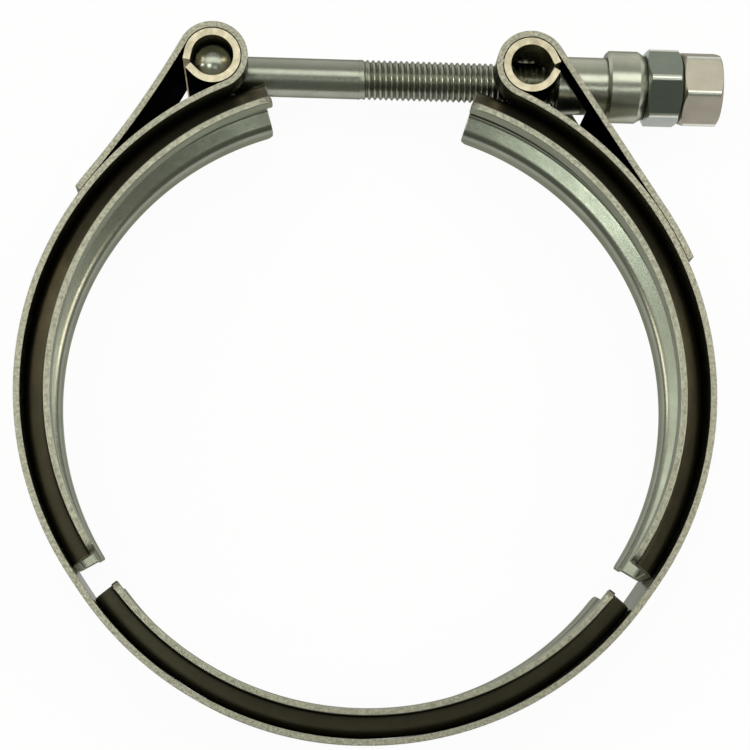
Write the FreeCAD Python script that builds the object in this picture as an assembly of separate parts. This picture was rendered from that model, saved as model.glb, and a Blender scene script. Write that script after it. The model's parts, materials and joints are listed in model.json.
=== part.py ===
import FreeCAD, Part
import os
from math import acos, atan2, ceil, cos, degrees, hypot, pi, radians, sin, tan
from FreeCAD import Vector

# V-band clamp with a T-bolt closure, millimetres.
# The ring's axis is Z.  The origin is the centre of the V groove, half way across its width, where
# the three retainers share one centre once the clamp is pulled shut.  The bolt runs along X on the
# +Y side, and the clamp is drawn sprung open by open_angle at each of its two flex gaps.

# retainers: three roll-formed hat sections that wedge over the pair of flanges
lip_radius = 46.85        # inner face of the lips, clamp shut
retainer_sheet = 1.15
groove_depth = 3.4        # from the lips' inner face out to the web's inner face
flank_angle = 20.0        # of each flank, from the plane of the flange joint
retainer_width = 18.4     # over both lips
lip_length = 3.2
retainer_arc = 106.1
retainer_gap = 5.9        # between neighbours, measured along the band
bend_radius = 0.6         # inside every bend
lip_corner = 1.3          # rounding of the lips' four corners
notch_side = 0.6          # of the web's notch for the bolt, less than the bolt's radius
notch_depth = 2.6         # from the retainer's end

# band: one strip round all three retainers, its ends folded back into loops
band_sheet = 1.0
band_overhang = 0.3       # of each edge past the retainers' lips
weld_seam = 0.05          # between pieces that are spot-welded face to face
open_angle = 3.0          # spring-open angle at each flex gap
loop_setback = 7.1        # from a retainer's top end back to the trunnion, about the ring's centre
loop_clearance = 0.15     # round the trunnion tube
left_leg_radius = 160.0   # hollow of the left loop's outer leg
right_leg_radius = 1500.0  # the right one is almost straight
left_tail = 2.6           # welded end of each outer leg, along the band
right_tail = 9.0
slot_room = 0.5           # each side of the sleeve, across the strip
slot_side = 1.1           # room beside the bolt along the strip
sleeve_side = 1.1         # room beside the sleeve along the strip

# trunnions: split tubes rolled from sheet, one in each loop
tube_bore = 6.6
tube_sheet = 1.1
tube_slit = 0.5
tube_flat = 28.0          # angle each side of the slit over which the sheet stays flat
cross_hole_clearance = 0.25
left_slit = 197.4         # where each slit faces, from +X towards +Y
right_slit = -2.0

# T-bolt, 1/4-28 UNF; lengths from the left trunnion's axis
thread_diameter = 6.35
thread_pitch = 0.907
shank_diameter = 6.25
shank_length = 23.2
bolt_length = 81.3
point_chamfer = 0.8
head_diameter = 6.1
head_recess = 1.6         # of each end of the head in the left trunnion
dome_height = 1.7

# sleeve with its collar, and the two hex nuts
thread_clearance = 0.05   # radial, nuts and sleeve over the thread
end_clearance = 0.1       # between the tube, the sleeve and the nuts, end to end
sleeve_diameter = 9.2
sleeve_neck = 7.9
collar_diameter = 11.5
collar_length = 6.2
collar_chamfer = (0.45, 1.2)   # on the side of the neck, on the side of the nut
across_flats = 11.11
inner_nut_height = 5.7
outer_nut_height = 6.35
nut_chamfer_angle = 30.0
bore_chamfer = 0.4
inner_nut_turn = 16.9     # where a corner points, from +Z towards +Y
outer_nut_turn = 54.3

# worked out from the sizes above
web_radius = lip_radius + groove_depth + retainer_sheet
band_width = retainer_width + 2 * band_overhang
head_length = band_width - 2 * head_recess
slot_width = sleeve_diameter + 2 * slot_room
band_inner = web_radius + weld_seam
band_outer = band_inner + band_sheet
band_middle = (band_inner + band_outer) / 2
gap_angle = degrees(retainer_gap / web_radius)
bottom_start = 270.0 - retainer_arc / 2
flex_angle = bottom_start - gap_angle / 2
jaw_low = bottom_start - gap_angle
jaw_top = jaw_low - retainer_arc
tube_outer = tube_bore / 2 + tube_sheet
tube_reach = tube_outer / cos(radians(tube_flat))
trunnion_radius = band_outer + loop_clearance + tube_outer
trunnion_angle = jaw_top + loop_setback
bolt_hole = thread_diameter / 2 + cross_hole_clearance

Z = Vector(0, 0, 1)
ORIGIN = Vector(0, 0, 0)


def polar(radius, angle, centre=ORIGIN):
    return centre + Vector(radius * cos(radians(angle)), radius * sin(radians(angle)), 0)


flex_left = polar(band_middle, flex_angle)
flex_right = Vector(-flex_left.x, flex_left.y, 0)


def opened(shape, flex, angle):
    """A jaw's piece, swung out about the line that its end of the band flexes on."""
    shape.rotate(flex, Z, angle)
    return shape


def opened_point(point, flex, angle):
    return FreeCAD.Rotation(Z, angle).multVec(point - flex) + flex


trunnion_left_axis = opened_point(polar(trunnion_radius, trunnion_angle), flex_left, open_angle)
trunnion_right_axis = Vector(-trunnion_left_axis.x, trunnion_left_axis.y, 0)


def export(shape, node):
    shape.exportStep(os.path.join("parts", node + ".step"))


# ---- bent sheet: a line of sheet metal, given as straight runs and the bends between them ----

def offset_line(points, distance):
    """The corners of an open line of straight runs, moved sideways by distance."""
    moved = []
    for i, point in enumerate(points):
        before = (point - points[i - 1]).normalize() if i else None
        after = (points[i + 1] - point).normalize() if i + 1 < len(points) else None
        way = (before or after) + (after or before)
        side = Vector(-way.y, way.x, 0).normalize()
        run = after or before
        normal = Vector(-run.y, run.x, 0)
        moved.append(point + side * (distance / side.dot(normal)))
    return moved


def rounded_line(points, radii):
    """Edges along the runs, with an arc of the given radius at each corner between two runs."""
    edges, start = [], points[0]
    for before, corner, after, radius in zip(points, points[1:], points[2:], radii):
        inward = (before - corner).normalize()
        outward = (after - corner).normalize()
        half = inward.getAngle(outward) / 2
        reach = radius / tan(half)
        bisector = (inward + outward).normalize()
        first, last = corner + inward * reach, corner + outward * reach
        top = corner + bisector * (radius / sin(half) - radius)
        edges += [Part.makeLine(start, first), Part.Arc(first, top, last).toShape()]
        start = last
    return edges + [Part.makeLine(start, points[-1])]


def bent_sheet(points, sheet, inside):
    """A face with the section of a sheet bent along these points, which lie on its middle."""
    sides = []
    for distance in (sheet / 2, -sheet / 2):
        radii = []
        for a, b, c in zip(points, points[1:], points[2:]):
            turn = (b - a).cross(c - b).z
            radii.append(inside if turn * distance > 0 else inside + sheet)
        sides.append(rounded_line(offset_line(points, distance), radii))
    ends = [Part.makeLine(sides[0][i].Vertexes[i].Point, sides[1][i].Vertexes[i].Point)
            for i in (0, -1)]
    return Part.Face(Part.Wire(Part.__sortEdges__(sides[0] + sides[1] + ends)))


# ---- retainers ----

def retainer(start, bolt_end=None):
    """A hat section rolled to the ring: a web, two slanting flanks and a lip on each.

    bolt_end is the angle of the end whose web is notched so that the bolt passes over it.
    """
    lip = lip_radius + retainer_sheet / 2
    web = web_radius - retainer_sheet / 2
    edge = retainer_width / 2
    mouth = edge - lip_length
    floor = mouth - (web - lip) * tan(radians(flank_angle))
    half = [(lip, edge), (lip, mouth), (web, floor)]
    line = [Vector(r, z, 0) for r, z in half] + [Vector(r, -z, 0) for r, z in reversed(half)]
    section = bent_sheet(line, retainer_sheet, bend_radius)
    section.rotate(ORIGIN, Vector(1, 0, 0), 90)
    rolled = section.revolve(ORIGIN, Z, retainer_arc)
    corners = [e for e in rolled.Edges
               if abs(e.Length - retainer_sheet) < 1e-6
               and all(abs(abs(v.Z) - edge) < 1e-6 for v in e.Vertexes)]
    rolled = rolled.makeFillet(lip_corner, corners)
    rolled.rotate(ORIGIN, Z, start)
    if bolt_end is None:
        return rolled
    half = thread_diameter / 2 - notch_side
    mouth = Part.makeBox(web_radius, 2 * half, 2 * half, Vector(0, -half, -half))
    root = Part.makeCylinder(half, web_radius, ORIGIN, Vector(1, 0, 0))
    into = 1 if bolt_end == start else -1
    root.translate(Vector(0, into * (notch_depth - half), 0))
    mouth.translate(Vector(0, into * (notch_depth - 2 * half), 0))
    notch = root.fuse(mouth)
    notch.translate(Vector(web_radius - 2 * retainer_sheet, 0, 0))
    notch.rotate(ORIGIN, Z, bolt_end)
    return rolled.cut(notch)


# ---- band ----

class Strip:
    """A strip on edge, laid out in plan by turns and runs along its middle."""

    def __init__(self, point, heading):
        self.point, self.heading = point, heading
        self.sides = {band_sheet / 2: [], -band_sheet / 2: []}

    def turn(self, radius, angle):
        """An arc to the left for a positive angle, to the right for a negative one."""
        side = 1 if angle > 0 else -1
        centre = polar(radius, self.heading + 90 * side, self.point)
        start = self.heading - 90 * side
        for left, edges in self.sides.items():
            reach = radius - side * left
            ends = [polar(reach, start + angle * part, centre) for part in (0, 0.5, 1)]
            edges.append(Part.Arc(*ends).toShape())
        self.point = polar(radius, start + angle, centre)
        self.heading += angle

    def solid(self):
        left, right = self.sides.values()
        caps = [Part.makeLine(left[i].Vertexes[i].Point, right[i].Vertexes[i].Point)
                for i in (0, -1)]
        face = Part.Face(Part.Wire(Part.__sortEdges__(left + right + caps)))
        face.translate(Vector(0, 0, -band_width / 2))
        return face.extrude(Vector(0, 0, band_width))


def half_band(leg_radius, tail):
    """The left half: up round the ring, back over the trunnion and down to its welded tail."""
    tail_radius = band_outer + weld_seam + band_sheet / 2
    loop_radius = tube_outer + loop_clearance + band_sheet / 2
    to_leg = leg_radius + tail_radius
    loop_to_leg = leg_radius + loop_radius
    landing = degrees(acos((trunnion_radius**2 + to_leg**2 - loop_to_leg**2)
                           / (2 * trunnion_radius * to_leg)))
    leg_centre = polar(to_leg, trunnion_angle + landing)
    leave = leg_centre - polar(trunnion_radius, trunnion_angle)
    leave_angle = degrees(atan2(leave.y, leave.x)) % 360

    strip = Strip(Vector(0, -band_middle, 0), 180)
    strip.turn(band_middle, -retainer_arc / 2)
    far_side = opened_point(polar(band_middle, jaw_low), flex_left, open_angle)
    flex_turn = gap_angle - open_angle
    flex_radius = strip.point.distanceToPoint(far_side) / (2 * sin(radians(flex_turn / 2)))
    strip.turn(flex_radius, -flex_turn)
    strip.turn(band_middle, -(jaw_low - trunnion_angle))
    strip.turn(loop_radius, leave_angle - trunnion_angle + 180)
    strip.turn(leg_radius, -(leave_angle - trunnion_angle - landing))
    strip.turn(tail_radius, degrees(tail / tail_radius))
    return strip.solid()


def slot(axis, start, end, side):
    """The cut that lets the bolt through a loop, from start to end along X from its axis."""
    cut = Part.makeBox(end - start, 2 * side, slot_width)
    cut.translate(axis + Vector(start, -side, -slot_width / 2))
    return cut


def band():
    left = half_band(left_leg_radius, left_tail)
    right = half_band(right_leg_radius, right_tail).mirror(ORIGIN, Vector(1, 0, 0))
    strip = left.fuse(right).removeSplitter()
    past_loop = tube_outer + loop_clearance + 2 * band_sheet
    bolt_side = thread_diameter / 2 + slot_side
    sleeve_reach = tube_reach + sleeve_neck
    return strip.cut([
        slot(trunnion_left_axis, 0, past_loop, bolt_side),
        slot(trunnion_right_axis, -past_loop, 0, bolt_side),
        slot(trunnion_right_axis, 0, sleeve_reach, sleeve_diameter / 2 + sleeve_side),
    ])


# ---- trunnion tubes ----

def rolled_tube(axis, slit):
    """A tube rolled from flat sheet: its edges stay flat where they meet at the slit."""
    skins = []
    for radius in (tube_outer, tube_bore / 2):
        start = polar(radius, slit + tube_flat, axis)
        end = polar(radius, slit - tube_flat, axis)
        top = polar(radius / cos(radians(tube_flat)), slit, axis)
        wire = Part.Wire([Part.Arc(start, polar(radius, slit + 180, axis), end).toShape(),
                          Part.makeLine(end, top), Part.makeLine(top, start)])
        wire.translate(Vector(0, 0, -band_width / 2))
        skins.append(Part.Face(wire).extrude(Vector(0, 0, band_width)))
    gap = Part.makeBox(2 * tube_outer, tube_slit, band_width)
    gap.translate(Vector(0, -tube_slit / 2, -band_width / 2))
    gap.rotate(ORIGIN, Z, slit)
    gap.translate(axis)
    return skins[0].cut([skins[1], gap])


def bolt_bore(axis, start, end, radius):
    return Part.makeCylinder(radius, end - start, axis + Vector(start, 0, 0), Vector(1, 0, 0))


def trunnion_left():
    reach = 2 * tube_outer
    return rolled_tube(trunnion_left_axis, left_slit).cut(
        bolt_bore(trunnion_left_axis, 0, reach, bolt_hole))


def trunnion_right():
    reach = 2 * tube_outer
    return rolled_tube(trunnion_right_axis, right_slit).cut(
        bolt_bore(trunnion_right_axis, -reach, reach, bolt_hole))


# ---- turned pieces and fasteners, drawn along +X from their own origin ----

def turned(outline):
    """Revolves an outline of (x, radius) points and arc mid-points about X."""
    edges = []
    points = [Vector(x, r, 0) for x, r in outline]
    for a, b in zip(points, points[1:] + points[:1]):
        if a.distanceToPoint(b) > 1e-9:
            edges.append(Part.makeLine(a, b))
    return Part.Face(Part.Wire(edges)).revolve(ORIGIN, Vector(1, 0, 0), 360)


def head_pin():
    """The cross-bar of the T, along Z, with a dome at each end."""
    radius = head_diameter / 2
    half = head_length / 2
    shoulder = half - dome_height
    dome = (radius**2 + dome_height**2) / (2 * dome_height)
    edges = [
        Part.makeLine(Vector(0, 0, -half), Vector(0, 0, half)),
        Part.makeLine(Vector(radius, 0, -shoulder), Vector(radius, 0, shoulder)),
    ]
    for end in (1, -1):
        centre = Vector(0, 0, end * (half - dome))
        slope = atan2(shoulder - half + dome, radius) / 2 + pi / 4
        middle = centre + Vector(dome * cos(slope), 0, end * dome * sin(slope))
        edges.append(Part.Arc(Vector(radius, 0, end * shoulder), middle,
                              Vector(0, 0, end * half)).toShape())
    return Part.Face(Part.Wire(Part.__sortEdges__(edges))).revolve(ORIGIN, Z, 360)


def t_bolt():
    shank = shank_diameter / 2
    thread = thread_diameter / 2
    rod = turned([(0, 0), (0, shank), (shank_length, shank), (shank_length, thread),
                  (bolt_length - point_chamfer, thread),
                  (bolt_length, thread - point_chamfer), (bolt_length, 0)])
    bolt = rod.fuse(head_pin()).removeSplitter()
    bolt.translate(trunnion_left_axis)
    return bolt


def sleeve():
    bore = thread_diameter / 2 + thread_clearance
    neck, collar = sleeve_diameter / 2, collar_diameter / 2
    near, far = collar_chamfer
    length = sleeve_neck + collar_length
    return turned([
        (0, bore + bore_chamfer), (0, neck), (sleeve_neck, neck),
        (sleeve_neck, collar - near), (sleeve_neck + near, collar),
        (length - far, collar), (length, collar - far * 0.6),
        (length, bore + bore_chamfer), (length - bore_chamfer, bore), (bore_chamfer, bore)])


def hex_nut(height, turn, chamfered):
    """A hex nut; chamfered tells whether its near and its far end are turned off."""
    bore = thread_diameter / 2 + thread_clearance
    corner = across_flats / 2 / cos(pi / 6)
    blank = Part.makePolygon([Vector(0, corner * sin(radians(a + turn)), corner * cos(radians(a + turn)))
                              for a in range(0, 361, 60)])
    prism = Part.Face(blank).extrude(Vector(height, 0, 0))
    rim = across_flats / 2 * 0.97
    drop = (corner - rim) * tan(radians(nut_chamfer_angle))
    near, far = [drop if end else 0 for end in chamfered]
    outline = [(0, bore + bore_chamfer), (0, rim if near else corner + 1)]
    outline += [(near, corner)] if near else []
    outline += [(height - far, corner)] if far else [(height, corner + 1)]
    outline += [(height, rim)] if far else []
    outline += [(height, bore + bore_chamfer), (height - bore_chamfer, bore), (bore_chamfer, bore)]
    return prism.common(turned(outline))


def placed(shape, along):
    shape.translate(trunnion_right_axis + Vector(along, 0, 0))
    return shape


# ---- the nodes ----

def build():
    os.makedirs("parts", exist_ok=True)

    export(retainer(bottom_start), "retainer_bottom")
    export(opened(retainer(jaw_top, jaw_top), flex_left, open_angle), "retainer_left")
    export(opened(retainer(180 - jaw_low, 180 - jaw_top), flex_right, -open_angle),
           "retainer_right")
    export(band(), "band")

    export(trunnion_left(), "trunnion_left")
    export(trunnion_right(), "trunnion_right")
    export(t_bolt(), "t_bolt")

    sleeve_start = tube_reach + end_clearance
    inner_nut_start = sleeve_start + sleeve_neck + collar_length + end_clearance
    outer_nut_start = inner_nut_start + inner_nut_height + end_clearance
    export(placed(sleeve(), sleeve_start), "sleeve")
    export(placed(hex_nut(inner_nut_height, inner_nut_turn, (True, True)), inner_nut_start),
           "nut_inner")
    export(placed(hex_nut(outer_nut_height, outer_nut_turn, (False, True)), outer_nut_start),
           "nut_outer")


build()
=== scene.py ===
import json
from math import acos, asin, atan2, cos, degrees, pi, radians, sin, sqrt, tan

import bmesh
import bpy
from mathutils import Matrix, Vector


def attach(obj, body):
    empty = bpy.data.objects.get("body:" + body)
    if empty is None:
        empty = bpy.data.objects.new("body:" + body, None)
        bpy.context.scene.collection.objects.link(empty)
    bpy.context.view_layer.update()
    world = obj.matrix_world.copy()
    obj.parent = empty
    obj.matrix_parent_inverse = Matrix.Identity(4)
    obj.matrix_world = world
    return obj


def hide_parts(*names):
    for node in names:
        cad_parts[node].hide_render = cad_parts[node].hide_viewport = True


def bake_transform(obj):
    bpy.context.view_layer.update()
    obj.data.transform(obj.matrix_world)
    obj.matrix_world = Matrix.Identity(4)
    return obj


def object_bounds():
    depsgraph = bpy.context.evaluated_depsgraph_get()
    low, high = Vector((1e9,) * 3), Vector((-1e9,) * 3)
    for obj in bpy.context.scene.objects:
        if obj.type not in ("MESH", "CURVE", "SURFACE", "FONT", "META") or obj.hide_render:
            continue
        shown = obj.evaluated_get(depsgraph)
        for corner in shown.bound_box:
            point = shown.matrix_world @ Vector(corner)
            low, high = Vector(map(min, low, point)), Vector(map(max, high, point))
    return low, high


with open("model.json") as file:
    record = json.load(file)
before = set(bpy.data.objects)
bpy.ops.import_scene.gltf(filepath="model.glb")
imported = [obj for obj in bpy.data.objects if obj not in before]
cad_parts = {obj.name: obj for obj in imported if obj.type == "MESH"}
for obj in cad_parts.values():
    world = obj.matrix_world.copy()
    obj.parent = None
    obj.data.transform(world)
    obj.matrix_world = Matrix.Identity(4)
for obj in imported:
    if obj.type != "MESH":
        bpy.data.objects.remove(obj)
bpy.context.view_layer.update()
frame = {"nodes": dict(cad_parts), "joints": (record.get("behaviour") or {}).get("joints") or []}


# ---- Retainers ----
# Three hat sections roll-formed from 1.15 mm stainless strip and cut off square.  Each one's web
# is spot-welded to the band, and its two flanks wedge over the rims of the flanges.

MM = 0.001
joints = {joint["name"]: joint for joint in frame["joints"]}
flex_left = Vector(joints["left_jaw_flex"]["pos_m"])
flex_right = Vector(joints["right_jaw_flex"]["pos_m"])
open_angle = joints["left_jaw_flex"]["range_deg"][1]
SHEET = 1.15 * MM
LIP_RADIUS = 46.85 * MM         # the lips' inner face
GROOVE_DEPTH = 3.4 * MM
WEB_RADIUS = LIP_RADIUS + GROOVE_DEPTH + SHEET
RETAINER_WIDTH = 18.4 * MM
LIP_LENGTH = 3.2 * MM
FLANK_ANGLE = 20.0              # from the plane of the joint
BEND_RADIUS = 0.6 * MM          # inside
RETAINER_ARC = 106.1
RETAINER_GAP = 5.9 * MM
LIP_CORNER = 1.3 * MM
NOTCH_HALF = 2.575 * MM         # half width of the notch that the bolt passes over
NOTCH_DEPTH = 2.6 * MM
SHEARED_EDGE = 0.08 * MM        # rounding of a sheared edge after tumbling
ROLLED_OVER_EDGE = 0.18 * MM    # of the lips, where the rolls have run over the edge
SECTION_STEP = 0.3 * MM         # between points along the hat section
ARC_STEPS = 96                  # from end to end of a retainer
TOUCHING = 1e-7                 # metres; points nearer than this are one
MARK_DEPTH = 0.02 * MM          # of the lines that rolling and drawing leave
NOISE_RANGE = (0.32, 0.68)      # which a noise texture seldom leaves
gap_angle = degrees(RETAINER_GAP / WEB_RADIUS)
bottom_start = 270.0 - RETAINER_ARC / 2
jaw_low = bottom_start - gap_angle
jaw_top = jaw_low - RETAINER_ARC


def linear(hex_colour):
    """A #rrggbb colour as the linear RGBA that a shader socket takes."""
    channels = [int(hex_colour[i:i + 2], 16) / 255 for i in (1, 3, 5)]
    return [c / 12.92 if c <= 0.04045 else ((c + 0.055) / 1.055) ** 2.4 for c in channels] + [1.0]


def add_node(tree, kind, settings=None, **links):
    """Adds a node.  Settings are its properties; links set its inputs, by value or by socket."""
    node = tree.nodes.new(kind)
    for name, value in (settings or {}).items():
        setattr(node, name, value)
    for name, value in links.items():
        key = int(name[1:]) if name[0] == "_" and name[1:].isdigit() else name.replace("_", " ")
        if isinstance(value, bpy.types.NodeSocket):
            tree.links.new(value, node.inputs[key])
        else:
            node.inputs[key].default_value = value
    return node


def empty_tree(block):
    """The node tree of a new material or world, cleared."""
    block.use_nodes = True
    block.node_tree.nodes.clear()
    return block.node_tree


def steel(name, light, dark, roughness, grain, streaks, mottle=0.35, bump=0.15, across=9.0,
          glancing="#9a9c92"):
    """Stainless steel.  Fine lines run round the ring, drawn at the real spacing of rolling marks
    made coarse enough to show, and broader patches of light and dark lie along them.  Glancing is
    the tint of reflections at a low angle, which an oxide film dulls."""
    material = bpy.data.materials.new(name)
    tree = empty_tree(material)
    place = add_node(tree, "ShaderNodeTexCoord").outputs["Object"]
    parts = add_node(tree, "ShaderNodeSeparateXYZ", Vector=place)
    flat = add_node(tree, "ShaderNodeCombineXYZ", X=parts.outputs["X"], Y=parts.outputs["Y"])
    reach = add_node(tree, "ShaderNodeVectorMath", {"operation": "LENGTH"}, _0=flat.outputs[0])
    turn = add_node(tree, "ShaderNodeMath", {"operation": "ARCTAN2"}, _0=parts.outputs["Y"],
                    _1=parts.outputs["X"])
    along = add_node(tree, "ShaderNodeMath", {"operation": "MULTIPLY"}, _0=turn.outputs[0],
                     _1=across / grain * MM)
    rolled = add_node(tree, "ShaderNodeCombineXYZ", X=along.outputs[0], Y=reach.outputs["Value"],
                      Z=parts.outputs["Z"])
    lines = add_node(tree, "ShaderNodeTexNoise", Vector=rolled.outputs[0], Scale=1 / grain,
                     Detail=3.0, Roughness=0.6)
    patches = add_node(tree, "ShaderNodeTexNoise", Vector=place, Scale=1 / streaks, Detail=4.0,
                       Roughness=0.65)
    shade = add_node(tree, "ShaderNodeMix", {"data_type": "FLOAT"}, Factor=mottle,
                     _2=lines.outputs["Fac"], _3=patches.outputs["Fac"])
    spread = add_node(tree, "ShaderNodeMapRange", Value=shade.outputs[0],
                      From_Min=NOISE_RANGE[0], From_Max=NOISE_RANGE[1])
    tone = add_node(tree, "ShaderNodeMix", {"data_type": "RGBA"}, _0=spread.outputs[0],
                    _6=linear(dark), _7=linear(light))
    gloss = add_node(tree, "ShaderNodeMapRange", Value=spread.outputs[0], To_Min=roughness[1],
                     To_Max=roughness[0])
    relief = add_node(tree, "ShaderNodeBump", Strength=bump, Distance=MARK_DEPTH,
                      Height=lines.outputs["Fac"])
    surface = add_node(tree, "ShaderNodeBsdfPrincipled", Base_Color=tone.outputs[2], Metallic=1.0,
                       Roughness=gloss.outputs[0], Normal=relief.outputs[0],
                       Specular_Tint=linear(glancing))
    add_node(tree, "ShaderNodeOutputMaterial", Surface=surface.outputs[0])
    return material


# Roll-formed 304 strip is satin, with faint lines round the ring.  Its outside, down in the trough
# against the band, is painted dark straw-brown as shade.  Its sheared edges are torn bright metal,
# rougher, and catch the light in specks.
rolled_strip = steel("rolled_stainless_strip", "#a0a395", "#7b7e71", (0.2, 0.34), 0.16 * MM,
                     6 * MM, glancing="#b0b2a7")
trough_shade_strip = steel("weld_tinted_stainless", "#70695a", "#48443a", (0.26, 0.4), 0.16 * MM, 5 * MM,
                     glancing="#5a554a")
sheared_strip = steel("sheared_stainless_edge", "#bfbaa8", "#65645a", (0.28, 0.5), 0.3 * MM,
                      0.45 * MM, mottle=0.6, bump=0.5, across=52.0)


def walk(point, heading, moves, step):
    """Follows runs and bends in a plane.  A move is (length, turn); gives (point, left normal)."""
    stations = []
    for length, turn in moves:
        count = max(1, round(length / step))
        for i in range(count):
            stations.append((point.copy(), Vector((-sin(heading), cos(heading)))))
            middle = heading + radians(turn) / count / 2
            half = abs(radians(turn)) / count / 2
            chord = length / count * (sin(half) / half if half else 1)
            point = point + chord * Vector((cos(middle), sin(middle)))
            heading += radians(turn) / count
    return stations + [(point.copy(), Vector((-sin(heading), cos(heading))))]


def turned_about(centre, angle, point):
    """The point, turned about a line along Z."""
    return Matrix.Rotation(radians(angle), 3, "Z") @ (point - centre) + centre


def sharp_edges(mesh, limit=40.0):
    """Marks for bevelling each edge that is sharper than the limit, but for the seam on x = 0
    where the band's halves meet."""
    weights = mesh.attributes.new("bevel_weight_edge", "FLOAT", "EDGE")
    work = bmesh.new()
    work.from_mesh(mesh)
    work.edges.ensure_lookup_table()
    for edge in work.edges:
        sharp = len(edge.link_faces) == 2 and edge.calc_face_angle() > radians(limit)
        seam = all(abs(v.co.x) < TOUCHING for v in edge.verts)
        weights.data[edge.index].value = 1.0 if sharp and not seam else 0.0
        mesh.edges[edge.index].use_edge_sharp = sharp and seam
    work.free()


def linked(name, data):
    """A new object in the scene."""
    thing = bpy.data.objects.new(name, data)
    bpy.context.scene.collection.objects.link(thing)
    return thing


def finished(name, mesh, materials, edge, rounding=-1, cutters=()):
    """Makes the piece, cuts its holes, breaks its sharp edges and leaves a plain mesh.  Rounding
    is the place in materials of the finish on the broken edges."""
    piece = linked(name, mesh)
    for material in materials:
        mesh.materials.append(material)
    for cutter in cutters:
        hole = piece.modifiers.new("hole", "BOOLEAN")
        hole.operation = "DIFFERENCE"
        hole.object = cutter
    if cutters:
        bake_modifiers(piece)
        for cutter in cutters:
            bpy.data.objects.remove(cutter)
    piece.data.polygons.foreach_set("use_smooth", [True] * len(piece.data.polygons))
    sharp_edges(piece.data)
    bevel = piece.modifiers.new("edges", "BEVEL")
    bevel.limit_method = "WEIGHT"
    bevel.width = edge
    bevel.segments = 2
    bevel.harden_normals = True
    bevel.material = rounding % len(materials)
    bake_modifiers(piece)
    return piece


def bake_modifiers(piece):
    """Puts the mesh that the modifiers make in place of the piece's own."""
    bpy.context.view_layer.update()
    graph = bpy.context.evaluated_depsgraph_get()
    shaped = bpy.data.meshes.new_from_object(piece.evaluated_get(graph))
    old = piece.data
    piece.modifiers.clear()
    piece.data = shaped
    bpy.data.meshes.remove(old)
    shaped.name = piece.name


def lip_setback(z):
    """How far the rounded corner of a lip stands back from the square end."""
    into = abs(z) - (RETAINER_WIDTH / 2 - LIP_CORNER)
    return LIP_CORNER - sqrt(max(0.0, LIP_CORNER**2 - into**2)) if into > 0 else 0.0


def notch_setback(z):
    """How far the round-bottomed notch for the bolt stands back from the square end."""
    inside = NOTCH_HALF**2 - z * z
    return NOTCH_DEPTH - NOTCH_HALF + sqrt(inside) if inside > 0 else 0.0


def retainer(name, start, centre, bolt_end):
    """Rolls the hat section round its centre.  bolt_end is 0 or 1 for the notched end, or None."""
    middle_bend = BEND_RADIUS + SHEET / 2
    fold = 90.0 - FLANK_ANGLE
    tangent = middle_bend * tan(radians(fold / 2))
    bend = middle_bend * radians(fold)
    flank = GROOVE_DEPTH / cos(radians(FLANK_ANGLE)) - 2 * tangent
    floor = (RETAINER_WIDTH - 2 * LIP_LENGTH) - 2 * GROOVE_DEPTH * tan(radians(FLANK_ANGLE))
    half = [(LIP_LENGTH - tangent, 0), (bend, fold), (flank, 0), (bend, -fold)]
    moves = half + [(floor - 2 * tangent, 0)] + [(length, turn) for length, turn in reversed(half)]
    lip = Vector((LIP_RADIUS + SHEET / 2, RETAINER_WIDTH / 2))
    line = walk(lip, -pi / 2, moves, SECTION_STEP)
    sides = [[p + n * SHEET / 2 * side for p, n in line] for side in (1, -1)]
    outline = sides[0] + sides[1][::-1]
    across = len(line)

    def station(r, z, share):
        """A point of the outline, this share of the way from end to end."""
        back = degrees(lip_setback(z) / r)
        ends = [start + back, start + RETAINER_ARC - back]
        if bolt_end is not None:
            ends[bolt_end] += degrees(notch_setback(z) / r) * (1 - 2 * bolt_end)
        angle = radians(ends[0] + (ends[1] - ends[0]) * share)
        return centre + Vector((r * cos(angle), r * sin(angle), z))

    mesh = bpy.data.meshes.new(name)
    points = [station(r, z, i / ARC_STEPS) for i in range(ARC_STEPS + 1) for r, z in outline]
    around = len(outline)
    faces = [(i * around + j, i * around + (j + 1) % around,
              (i + 1) * around + (j + 1) % around, (i + 1) * around + j)
             for i in range(ARC_STEPS) for j in range(around)]
    skin = len(faces)
    last = ARC_STEPS * around
    faces += [(j + 1, j, around - 1 - j, around - 2 - j) for j in range(across - 1)]
    faces += [(last + j, last + j + 1, last + around - 2 - j, last + around - 1 - j)
              for j in range(across - 1)]
    mesh.from_pydata(points, [], faces)
    materials = [rolled_strip, trough_shade_strip, sheared_strip]
    # faces on the section's outside take the strip painted dark straw-brown as shade
    mesh.polygons.foreach_set("material_index", [
        2 if i >= skin or i % around in (across - 1, around - 1) else int(i % around < across)
        for i in range(len(faces))])
    return finished(name, mesh, materials, ROLLED_OVER_EDGE, rounding=0)


left_centre = turned_about(flex_left, open_angle, Vector((0, 0, 0)))
right_centre = turned_about(flex_right, -open_angle, Vector((0, 0, 0)))
retainers = [
    ("retainer_bottom", bottom_start, Vector((0, 0, 0)), None, "ring"),
    ("retainer_left", jaw_top + open_angle, left_centre, 0, "left_jaw"),
    ("retainer_right", 180 - jaw_low - open_angle, right_centre, 1, "right_jaw"),
]
for node, start, centre, bolt_end, body in retainers:
    piece = retainer("formed_" + node, start, centre, bolt_end)
    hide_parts(node)
    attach(piece, body)


# ---- Band ----
# One strip of 1 mm spring-temper stainless round all three retainers.  Each end turns over its
# trunnion in a loop, slotted for the bolt, and is spot-welded back on the band's outside.

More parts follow.
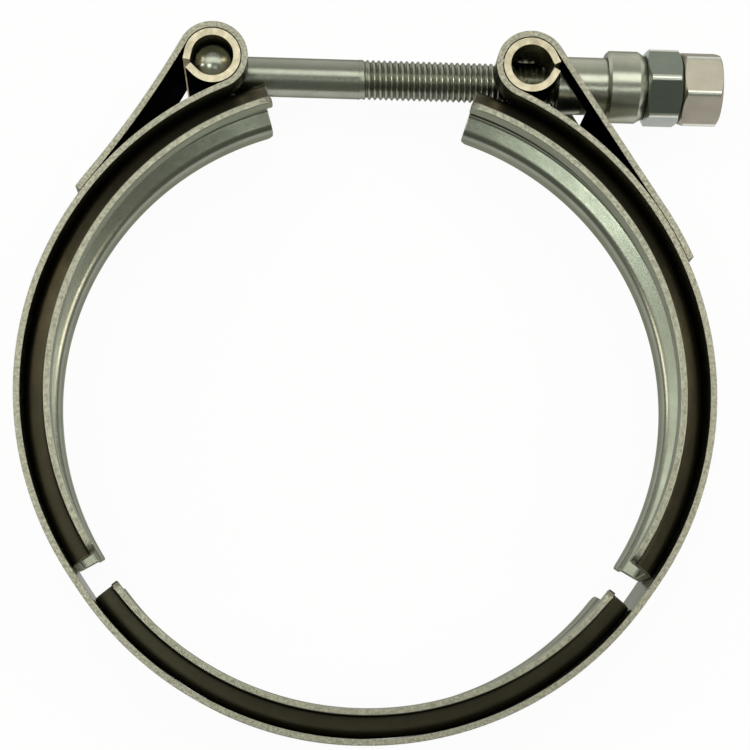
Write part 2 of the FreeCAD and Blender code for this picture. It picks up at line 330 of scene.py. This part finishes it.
BAND_SHEET = 1.0 * MM
BAND_WIDTH = 19.0 * MM
SEAM = 0.05 * MM
LOOP_SETBACK = 7.1
LOOP_CLEARANCE = 0.15 * MM
TUBE_RADIUS = 4.4 * MM
LEG_RADII = {"left": 160.0 * MM, "right": 1500.0 * MM}
TAILS = {"left": 2.6 * MM, "right": 9.0 * MM}
BOLT_SLOT = 4.275 * MM          # half length along the strip
SLEEVE_SLOT = 5.7 * MM
SLOT_WIDTH = 10.2 * MM
STRIP_STEP = 0.7 * MM           # between points along the strip
BEND_STEP = radians(5)          # and at most this far round a bend
band_middle = WEB_RADIUS + SEAM + BAND_SHEET / 2
band_outer = band_middle + BAND_SHEET / 2
trunnion_radius = band_outer + LOOP_CLEARANCE + TUBE_RADIUS
trunnion_angle = jaw_top + LOOP_SETBACK
loop_radius = TUBE_RADIUS + LOOP_CLEARANCE + BAND_SHEET / 2
tail_radius = band_outer + SEAM + BAND_SHEET / 2

# Spring strip is smoother than the retainers.  Inside the loops and legs, and round the trunnions'
# outside, it is painted blue-black as shade and dark reflection.
spring_strip = steel("spring_stainless_strip", "#a6a798", "#818377", (0.18, 0.3), 0.14 * MM,
                     8 * MM)
loop_shade_strip = steel("heat_tinted_strip", "#20272a", "#101315", (0.3, 0.45), 0.2 * MM, 5 * MM,
                     glancing="#1c2022")


def polar(radius, angle):
    """The point at this radius and angle, from +X towards +Y."""
    return Vector((radius * cos(radians(angle)), radius * sin(radians(angle))))


# the left flex gap, from the bottom retainer to the left one, along the strip's middle
gap_start = polar(band_middle, bottom_start).to_3d()
gap_end = turned_about(flex_left, open_angle, polar(band_middle, jaw_low).to_3d())


def half_band_moves(side):
    """The strip's bends from the middle of the bottom retainer to its tail, each as (radius, turn,
    slotted, painted), for the left half, where painted says that the run's face is painted
    blue-black as shade; the right half is its mirror image."""
    leg, tail = LEG_RADII[side], TAILS[side]
    to_leg = leg + tail_radius
    landing = degrees(acos((trunnion_radius**2 + to_leg**2 - (leg + loop_radius)**2)
                           / (2 * trunnion_radius * to_leg)))
    reach = polar(to_leg, trunnion_angle + landing) - polar(trunnion_radius, trunnion_angle)
    leave = degrees(atan2(reach.y, reach.x)) % 360
    chord = (gap_start - gap_end).length
    flex_turn = gap_angle - open_angle
    flex_radius = chord / (2 * sin(radians(flex_turn / 2)))
    start = trunnion_angle - 180            # the loop's start, about the trunnion
    slot = degrees(asin(BOLT_SLOT / loop_radius))
    stops = [(-slot - open_angle, False), (slot - open_angle, True)]
    leg_turn = leave - trunnion_angle - landing
    leg_moves = [(leg, -leg_turn, False, True)]
    if side == "right":
        stops += [(90.0 - open_angle, False), (leave, True)]
        drop = loop_radius * sin(radians(leave + open_angle)) + SLEEVE_SLOT
        slotted = degrees(drop / abs(cos(radians(leave + open_angle))) / leg)
        leg_moves = [(leg, -slotted, True, True), (leg, slotted - leg_turn, False, True)]
    else:
        stops.append((leave, False))
    loop_moves = []
    for stop, slotted in stops:
        loop_moves.append((loop_radius, stop - start, slotted, True))
        start = stop
    return ([(band_middle, -RETAINER_ARC / 2, False, False),
             (flex_radius, -flex_turn, False, False),
             (band_middle, trunnion_angle - jaw_low, False, False)] + loop_moves + leg_moves
            + [(tail_radius, degrees(tail / tail_radius), False, False)])


def plain_mesh(name, work):
    """The worked mesh as mesh data of its own."""
    data = bpy.data.meshes.new(name)
    work.to_mesh(data)
    work.free()
    return data


def strip(name, stations, slots, inner, width, slot_width, thickness, materials, mirror=1,
          **finish):
    """A strip on edge with rectangular slots along its middle.  Stations are (point, normal).  For
    each run between two stations, slots says whether it is slotted and inner gives the material of
    its left face.  The first material is for the right face and the last one for sheared edges."""
    columns = [-width / 2, -slot_width / 2, slot_width / 2, width / 2]
    mesh = bmesh.new()
    grid = [[[mesh.verts.new((mirror * (p.x + n.x * side), p.y + n.y * side, z)) for side in
              (thickness / 2, -thickness / 2)] for z in columns] for p, n in stations]
    rows, cells = len(slots), len(columns) - 1

    def solid(i, j):
        return 0 <= i < rows and 0 <= j < cells and not (slots[i] and j == 1)

    def face(*corners, material=len(materials) - 1):
        mesh.faces.new(corners[::mirror]).material_index = material

    for i in range(rows):
        for j in range(cells):
            if not solid(i, j):
                continue
            a, b, c, d = grid[i][j], grid[i + 1][j], grid[i + 1][j + 1], grid[i][j + 1]
            face(a[0], d[0], c[0], b[0], material=inner[i])
            face(a[1], b[1], c[1], d[1], material=0)
            for p, q, beside in ((a, b, (i, j - 1)), (b, c, (i + 1, j)), (c, d, (i, j + 1)),
                                 (d, a, (i - 1, j))):
                if not solid(*beside):
                    face(p[0], q[0], q[1], p[1])
    bmesh.ops.delete(mesh, geom=[v for v in mesh.verts if not v.link_faces], context="VERTS")
    bmesh.ops.recalc_face_normals(mesh, faces=mesh.faces)
    return finished(name, plain_mesh(name, mesh), materials, SHEARED_EDGE, **finish)


def half_band(side, mirror):
    """Bends half the strip, from the middle of the bottom retainer to the tail."""
    stations, slots, inner = [], [], []
    point, heading = Vector((0, -band_middle)), pi
    for radius, turn, slotted, shade_painted in half_band_moves(side):
        length = radius * abs(radians(turn))
        step = min(STRIP_STEP, radius * BEND_STEP)
        part = walk(point, heading, [(length, turn)], step)
        stations += part[:-1]
        slots += [slotted] * (len(part) - 1)
        # runs in the loops and legs have their face painted blue-black as shade
        inner += [int(shade_painted)] * (len(part) - 1)
        point = part[-1][0]
        heading += radians(turn)
    stations.append((point, part[-1][1]))
    return strip("spring_band_" + side, stations, slots, inner, BAND_WIDTH, SLOT_WIDTH, BAND_SHEET,
                 [spring_strip, loop_shade_strip, sheared_strip], mirror=mirror)


for side, mirror in (("left", 1), ("right", -1)):
    piece = half_band(side, mirror)
    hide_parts("band")
    start, end = [(mirror * p.x, p.y, 0) for p in (gap_start, gap_end)]
    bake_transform(piece)


# ---- Trunnions ----
# Two tubes rolled from bright strip, left open at a slit where the sheet's ends stay almost flat.
# The left one holds the bolt's head; the bolt slides through a cross hole in the right one.

TUBE_SHEET = 1.1 * MM
TUBE_SLIT = 0.5 * MM
TUBE_FLAT = 28.0                # angle each side of the slit over which the sheet stays flat
CROSS_HOLE = 3.425 * MM
HOLE_REACH = 3 * TUBE_RADIUS    # well past the tube's outside
LEFT_SLIT, RIGHT_SLIT = 197.4, -2.0     # where each slit faces, from +X towards +Y
bolt_axis = Vector(joints["bolt_pivot"]["pos_m"])
right_axis = Vector(joints["right_trunnion_pivot"]["pos_m"])
bright_tube = steel("bright_rolled_tube", "#d9d2bd", "#aaa793", (0.16, 0.3), 0.2 * MM, 3 * MM)
bright_tube_edge = steel("bright_tube_end", "#d8ccb4", "#9f947e", (0.26, 0.42), 0.4 * MM, 1.5 * MM,
                         mottle=0.6, bump=0.3)


def cylinder(name, radius, start, end, steps=64):
    """A round cutter between two points."""
    mesh = bmesh.new()
    bmesh.ops.create_cone(mesh, cap_ends=True, segments=steps, radius1=radius, radius2=radius,
                          depth=(end - start).length)
    cutter = linked(name, plain_mesh(name, mesh))
    turn = (end - start).to_track_quat("Z", "Y").to_matrix().to_4x4()
    cutter.matrix_world = Matrix.Translation((start + end) / 2) @ turn
    return cutter


def trunnion(name, axis, slit, hole_start):
    """The tube, with its slit facing the given angle and a cross hole along +X from hole_start."""
    middle = TUBE_RADIUS - TUBE_SHEET / 2
    flat = radians(TUBE_FLAT)
    run = ((middle - TUBE_SHEET / 2) * sin(flat) - TUBE_SLIT / 2) / cos(flat)
    end = Vector((middle * cos(flat) + run * sin(flat), middle * sin(flat) - run * cos(flat), 0))
    start = axis + Matrix.Rotation(radians(slit), 3, "Z") @ end
    wrap = 360 - 2 * TUBE_FLAT
    moves = [(run, 0), (middle * radians(wrap), wrap), (run, 0)]
    stations = walk(start.to_2d(), radians(slit + 90 + TUBE_FLAT), moves, middle * BEND_STEP)
    cutter = cylinder("cross_hole", CROSS_HOLE, axis + Vector((hole_start, 0, 0)),
                      axis + Vector((HOLE_REACH, 0, 0)))
    runs = len(stations) - 1
    # the tube's outside is painted blue-black as shade; its bore is bright
    return strip(name, stations, [False] * runs, [1] * runs, BAND_WIDTH, BAND_WIDTH / 3,
                 TUBE_SHEET, [loop_shade_strip, bright_tube, bright_tube_edge], cutters=[cutter])


for node, axis, slit, hole_start, body in (
        ("trunnion_left", bolt_axis, LEFT_SLIT, 0.0, "bolt"),
        ("trunnion_right", right_axis, RIGHT_SLIT, -HOLE_REACH, "right_trunnion")):
    piece = trunnion("rolled_" + node, axis, slit, hole_start)
    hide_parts(node)
    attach(piece, body)


# ---- T-bolt ----
# 1/4-28 UNF, stainless.  A round bar forms the head of the T inside the left trunnion; the shank is
# drawn satin and the thread is rolled, with a turned point.

THREAD = 6.35 * MM
PITCH = 0.907 * MM
RUN_OUT = 1.5 * PITCH           # over which the thread reaches its full depth
THREAD_DEPTH = 0.4 * MM         # crests worn and roots filled by rolling
SHANK = 6.25 * MM
SHANK_LENGTH = 23.2 * MM
SHOULDER = 0.02 * MM            # length of the step from the shank to the thread
BOLT_LENGTH = 81.3 * MM
POINT = 0.8 * MM
HEAD = 6.1 * MM
HEAD_LENGTH = 15.8 * MM
DOME = 1.7 * MM
DOME_STEPS = 8                  # from its middle to its rim
ROD_CREASE = 40.0               # edges of the bolt sharper than this stay crisp
drawn_bar = steel("drawn_stainless_bar", "#aeb0a4", "#8b8d82", (0.2, 0.34), 0.3 * MM, 4 * MM)


def thread_radius(x, phase):
    """Radius of the rolled thread, with rounded crests and roots."""
    depth = THREAD_DEPTH * min(1.0, (x - SHANK_LENGTH) / RUN_OUT)
    point = THREAD / 2 - POINT + (BOLT_LENGTH - x)
    return min(THREAD / 2 - depth * (0.5 + 0.5 * cos(2 * pi * phase)), point)


def threaded_rod(around=64, per_pitch=8):
    """The shank and thread as rings from the head to the point; each thread ring is a helix."""
    mesh = bmesh.new()
    rows = []
    for x in (0.0, SHANK_LENGTH - SHOULDER):
        rows.append([mesh.verts.new((x, SHANK / 2 * cos(a), SHANK / 2 * sin(a)))
                     for a in (2 * pi * j / around for j in range(around))])
    pitches = int((BOLT_LENGTH - SHANK_LENGTH) / PITCH) + 2
    for i in range(-per_pitch, pitches * per_pitch):
        row = []
        for j in range(around):
            x = SHANK_LENGTH + PITCH * (i / per_pitch + j / around)
            x = min(max(x, SHANK_LENGTH), BOLT_LENGTH)
            phase = (i / per_pitch) % 1.0
            r = thread_radius(x, phase)
            a = 2 * pi * j / around
            row.append(mesh.verts.new((x, r * cos(a), r * sin(a))))
        rows.append(row)
    first_helix = 2
    for i, (row, after) in enumerate(zip(rows, rows[1:])):
        for j in range(around):
            k = (j + 1) % around
            if i < first_helix - 1 or k:
                quad = (row[j], row[k], after[k], after[j])
            elif i == first_helix - 1:
                quad = (row[j], row[k], rows[first_helix][0], after[j])
            else:
                # the helix has moved on by a whole pitch when it comes round
                if i + 1 + per_pitch >= len(rows):
                    continue
                quad = (row[j], rows[i + per_pitch][0], rows[i + 1 + per_pitch][0], after[j])
            mesh.faces.new(quad)
    bmesh.ops.remove_doubles(mesh, verts=mesh.verts, dist=TOUCHING)
    bmesh.ops.dissolve_degenerate(mesh, dist=TOUCHING, edges=mesh.edges)
    holes = [e for e in mesh.edges if len(e.link_faces) == 1]
    bmesh.ops.holes_fill(mesh, edges=holes, sides=0)
    bmesh.ops.recalc_face_normals(mesh, faces=mesh.faces)
    return mesh


def head_pin(mesh, steps=48):
    """Adds the T's cross-bar along Z, with a shallow dome at each end."""
    radius, half = HEAD / 2, HEAD_LENGTH / 2
    dome = (radius**2 + DOME**2) / (2 * DOME)
    outline = []
    for i in range(DOME_STEPS + 1):
        angle = asin(radius / dome) * i / DOME_STEPS
        outline.append((dome * sin(angle), half - dome + dome * cos(angle)))
    outline += [(r, -z) for r, z in reversed(outline)]
    rings = [[mesh.verts.new((r * cos(2 * pi * j / steps), r * sin(2 * pi * j / steps), z))
              for j in range(steps)] for r, z in outline[1:-1]]
    for ring, after in zip(rings, rings[1:]):
        for j in range(steps):
            k = (j + 1) % steps
            mesh.faces.new((ring[j], after[j], after[k], ring[k]))
    for ring, (r, z), order in ((rings[0], outline[0], 1), (rings[-1], outline[-1], -1)):
        tip = mesh.verts.new((0, 0, z))
        for j in range(steps):
            mesh.faces.new((tip, ring[j], ring[(j + 1) % steps])[::order])


def smooth(mesh, crease):
    """Shades the mesh smooth, but for the edges sharper than the crease."""
    mesh.polygons.foreach_set("use_smooth", [True] * len(mesh.polygons))
    mesh.set_sharp_from_angle(angle=radians(crease))


work = threaded_rod()
head_pin(work)
bmesh.ops.translate(work, verts=work.verts, vec=bolt_axis)
rod = plain_mesh("t_bolt_rolled", work)
rod.materials.append(drawn_bar)
smooth(rod, ROD_CREASE)
bolt = linked("t_bolt_rolled", rod)
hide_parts("t_bolt")
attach(bolt, "bolt")


# ---- Sleeve ----
# Turned from bar with its collar in one piece.  It slides on the thread, and its neck reaches
# through the band's outer leg to bear on the right trunnion.

turned_bar = steel("turned_stainless", "#c8c8ba", "#a4a498", (0.2, 0.32), 0.35 * MM, 5 * MM)
sleeve = frame["nodes"]["sleeve"].data
sleeve.materials.clear()
sleeve.materials.append(turned_bar)


# ---- Nuts ----
# Two 7/16 inch hex nuts locked against each other, chamfered on both faces and tumbled until their
# corners are rounded; the rounded corners are painted near white as a highlight.  The inner one is
# polished, and the outer one is matt from passivating.

ACROSS_FLATS = 11.11 * MM
NUT_CORNER = 0.9 * MM
NUT_CHAMFER = 30.0
NUT_FACE = 0.97                 # radius of the flat face, of half the width across flats
NUT_BORE = 3.225 * MM
BORE_CHAMFER = 0.4 * MM
NUT_CREASE = 22.0               # less than the chamfer's angle, so that its edge stays crisp
FLAT_SHARES = (-1, -0.96, -0.6, -0.2, 0.2, 0.6, 0.96, 1)    # points of a flat, end to end
ARC_SHARES = (-0.7, -0.35, 0, 0.35, 0.7)                    # and of a corner's arc
NUT_SIDE = 3                    # place of the nut's side in its section
INNER_TURN, OUTER_TURN = -2.3, 35.1     # where a corner of each points, from +Z towards +Y
polished_nut = steel("polished_nut", "#959c93", "#7b8279", (0.2, 0.32), 0.4 * MM, 4 * MM,
                     glancing="#ffffff")
matt_nut = steel("passivated_nut", "#cfc7b8", "#aea698", (0.28, 0.38), 0.3 * MM, 2.5 * MM)
# Near white, painted on the nuts' rounded corners as a highlight.
corner_highlight = steel("burnished_nut_corner", "#f1f2e8", "#d4d5ca", (0.24, 0.34), 0.4 * MM,
                         4 * MM)


def hexagon():
    """Angle and radius round a hexagon whose corners are arcs of NUT_CORNER, from a corner on."""
    half, centre = ACROSS_FLATS / 2, (ACROSS_FLATS / 2 - NUT_CORNER) / cos(radians(30))
    tangent = degrees(atan2(centre * sin(radians(30)), half))
    shape = []
    for sector in range(6):
        middle = 30 + 60 * sector
        for share in FLAT_SHARES:
            turn = share * tangent
            shape.append((middle + turn, half / cos(radians(turn))))
        for share in ARC_SHARES:
            turn = radians(share * (30 - tangent))
            reach = centre * cos(turn) + sqrt(NUT_CORNER**2 - (centre * sin(turn))**2)
            shape.append((middle + 30 + degrees(turn), reach))
    return shape


def nut(name, low_x, high_x, corner, material):
    """A nut on the bolt's axis, with one corner turned from +Z towards +Y."""
    flat = ACROSS_FLATS / 2 * NUT_FACE
    mesh = bmesh.new()
    rings = []
    for angle, reach in hexagon():
        set_in = (reach - flat) * tan(radians(NUT_CHAMFER))
        section = [(NUT_BORE, low_x + BORE_CHAMFER), (NUT_BORE + BORE_CHAMFER, low_x),
                   (flat, low_x), (reach, low_x + set_in), (reach, high_x - set_in), (flat, high_x),
                   (NUT_BORE + BORE_CHAMFER, high_x), (NUT_BORE, high_x - BORE_CHAMFER)]
        turn = radians(angle + corner)
        rings.append([mesh.verts.new((x, bolt_axis.y + r * sin(turn), r * cos(turn)))
                      for r, x in section])
    for place, (ring, after) in enumerate(zip(rings, rings[1:] + rings[:1])):
        on_arc = place % (len(FLAT_SHARES) + len(ARC_SHARES)) >= len(FLAT_SHARES) - 1
        for i in range(len(ring)):
            j = (i + 1) % len(ring)
            face = mesh.faces.new((ring[i], ring[j], after[j], after[i]))
            # the corner arcs on the nut's side take the painted highlight
            face.material_index = 1 if on_arc and i == NUT_SIDE else 0
    bmesh.ops.recalc_face_normals(mesh, faces=mesh.faces)
    data = plain_mesh(name, mesh)
    data.materials.append(material)
    data.materials.append(corner_highlight)
    smooth(data, NUT_CREASE)
    return linked(name, data)


for node, corner, material, body in (("nut_inner", INNER_TURN, polished_nut, "inner_nut"),
                                     ("nut_outer", OUTER_TURN, matt_nut, "outer_nut")):
    solid = frame["nodes"][node]
    along = [(solid.matrix_world @ Vector(c)).x for c in solid.bound_box]
    piece = nut("hex_" + node, min(along), max(along), corner, material)
    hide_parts(node)
    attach(piece, body)


# ---- Floor, light and camera ----
# A white floor that the clamp lies on, a long soft box overhead, two small warm ones at the sides
# and two small ones low in front, which draw the streaks along the retainers' flanks.

FLOOR_SIZE = 30.0               # metres each way, so that low views don't show its end
FIBRE = 2.5 * MM
GLOW = 0.95                     # share of plain white that views and reflections see in the card
LAMP_DISTANCE = 0.8
ROOM_WAY = (0.0, -0.6, 1.0)     # the room darkens this way, up and towards the front
ROOM_RANGE = (-0.3, 0.75)       # from its palest to its darkest
CAMERA_PLACE = Vector((-12.37, -52.67, 303.96)) * MM
CAMERA_TURN = (7.538, -2.759, 0.789)


def white_card():
    """Matt white card, with the faintest unevenness of its fibres."""
    material = bpy.data.materials.new("white_card")
    tree = empty_tree(material)
    place = add_node(tree, "ShaderNodeTexCoord").outputs["Object"]
    fibre = add_node(tree, "ShaderNodeTexNoise", Vector=place, Scale=1 / FIBRE)
    tone = add_node(tree, "ShaderNodeMix", {"data_type": "RGBA"}, _0=fibre.outputs["Fac"],
                    _6=linear("#fbfbf9"), _7=linear("#ffffff"))
    card = add_node(tree, "ShaderNodeBsdfDiffuse", Color=tone.outputs[2])
    path = add_node(tree, "ShaderNodeLightPath").outputs
    seen = add_node(tree, "ShaderNodeMath", {"operation": "MAXIMUM"}, _0=path["Is Camera Ray"],
                    _1=path["Is Glossy Ray"])
    seen = add_node(tree, "ShaderNodeMath", {"operation": "MAXIMUM"}, _0=seen.outputs[0],
                    _1=path["Is Transmission Ray"])
    share = add_node(tree, "ShaderNodeMath", {"operation": "MULTIPLY"}, _0=seen.outputs[0], _1=GLOW)
    white = add_node(tree, "ShaderNodeEmission", Color=linear("#ffffff"), Strength=1.0)
    mixed = add_node(tree, "ShaderNodeMixShader", _0=share.outputs[0], _1=card.outputs[0],
                     _2=white.outputs[0])
    add_node(tree, "ShaderNodeOutputMaterial", Surface=mixed.outputs[0])
    return material


floor_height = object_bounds()[0].z
floor_mesh = bpy.data.meshes.new("floor")
floor_mesh.from_pydata([(x * FLOOR_SIZE, y * FLOOR_SIZE, floor_height) for x, y in
                        ((-1, -1), (1, -1), (1, 1), (-1, 1))], [], [(0, 1, 2, 3)])
floor_mesh.materials.append(white_card())
floor = linked("floor", floor_mesh)


def softbox(name, place, target, size, watts, colour):
    """An area lamp that faces its target."""
    light = bpy.data.lights.new(name, "AREA")
    light.shape = "RECTANGLE"
    light.size, light.size_y = size
    light.energy = watts
    light.color = linear(colour)[:3]
    lamp = linked(name, light)
    lamp.location = place
    lamp.rotation_mode = "QUATERNION"
    lamp.rotation_quaternion = (Vector(target) - Vector(place)).to_track_quat("-Z", "Y")


# name, degrees off the vertical towards +X and towards +Y, size in metres, radiance, colour
for name, across, toward, size, radiance, colour in (
        ("overhead_softbox", 0.0, 17.5, (1.3, 0.38), 1.75, "#fbfff6"),
        ("left_softbox", -58.0, 5.0, (0.2, 0.2), 8.0, "#fff4e6"),
        ("right_softbox", 50.0, 0.0, (0.2, 0.2), 8.0, "#fff4e6"),
        ("low_left_softbox", -20.0, -12.0, (0.18, 0.18), 6.5, "#f6fff6"),
        ("low_right_softbox", 12.5, -21.0, (0.16, 0.12), 2.5, "#f6fff6")):
    aim = Vector((tan(radians(across)), tan(radians(toward)), 1.0)).normalized()
    softbox(name, aim * LAMP_DISTANCE, (0, 0, 0), size, radiance * pi * size[0] * size[1], colour)

world = bpy.data.worlds.new("studio")
bpy.context.scene.world = world
tree = empty_tree(world)
way = add_node(tree, "ShaderNodeTexCoord").outputs["Generated"]
rise = add_node(tree, "ShaderNodeVectorMath", {"operation": "DOT_PRODUCT"}, _0=way,
                _1=ROOM_WAY)
depth = add_node(tree, "ShaderNodeMapRange", Value=rise.outputs["Value"],
                 From_Min=ROOM_RANGE[0], From_Max=ROOM_RANGE[1])
wall = add_node(tree, "ShaderNodeMix", {"data_type": "RGBA"}, _0=depth.outputs[0],
                _6=linear("#e4e6dc"), _7=linear("#767971"))
room = add_node(tree, "ShaderNodeBackground", Color=wall.outputs[2], Strength=1.0)
add_node(tree, "ShaderNodeOutputWorld", Surface=room.outputs[0])

camera_data = bpy.data.cameras.new("camera")
camera_data.lens = 93.81
camera_data.sensor_width = 36.0
camera_data.shift_y = 0.15
camera_data.clip_start = 0.01
camera = linked("camera", camera_data)
camera.location = CAMERA_PLACE
camera.rotation_euler = [radians(a) for a in CAMERA_TURN]
bpy.context.scene.camera = camera
bpy.context.scene.view_settings.view_transform = "Standard"
